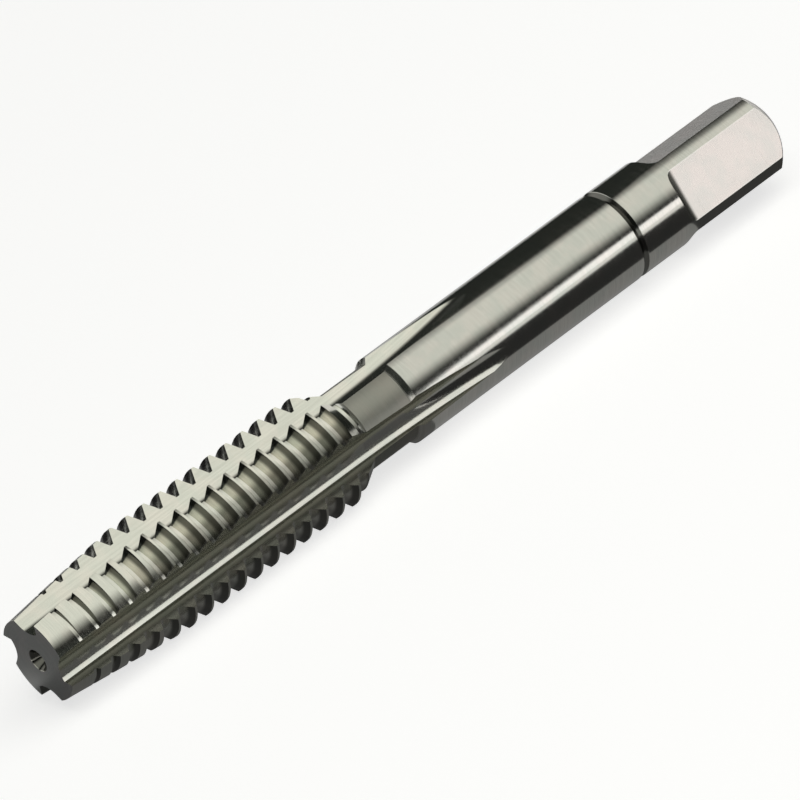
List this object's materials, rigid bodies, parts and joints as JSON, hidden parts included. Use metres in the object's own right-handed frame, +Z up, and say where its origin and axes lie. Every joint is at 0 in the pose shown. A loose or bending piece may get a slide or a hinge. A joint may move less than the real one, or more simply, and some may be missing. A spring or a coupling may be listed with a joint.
{
  "type": "thread tap",
  "caption": "Straight-fluted hand tap with a tapered lead, a right-hand thread, a slim neck, a round shank with a ring groove and a driving square.",
  "frame": {"origin": "on the surface that the tap lies on, under the middle of the tap's length", "axes": "+X along the tap from the cutting end to the square, +Z up, away from the surface it lies on; one flute faces straight down"},
  "size_m": [0.0636, 0.0072, 0.0073],
  "materials": {
    "ground_steel": "bright ground high speed steel, no coating"
  },
  "bodies": {
    "root": {"thread_tap": "ground_steel"}
  },
  "joints": []
}
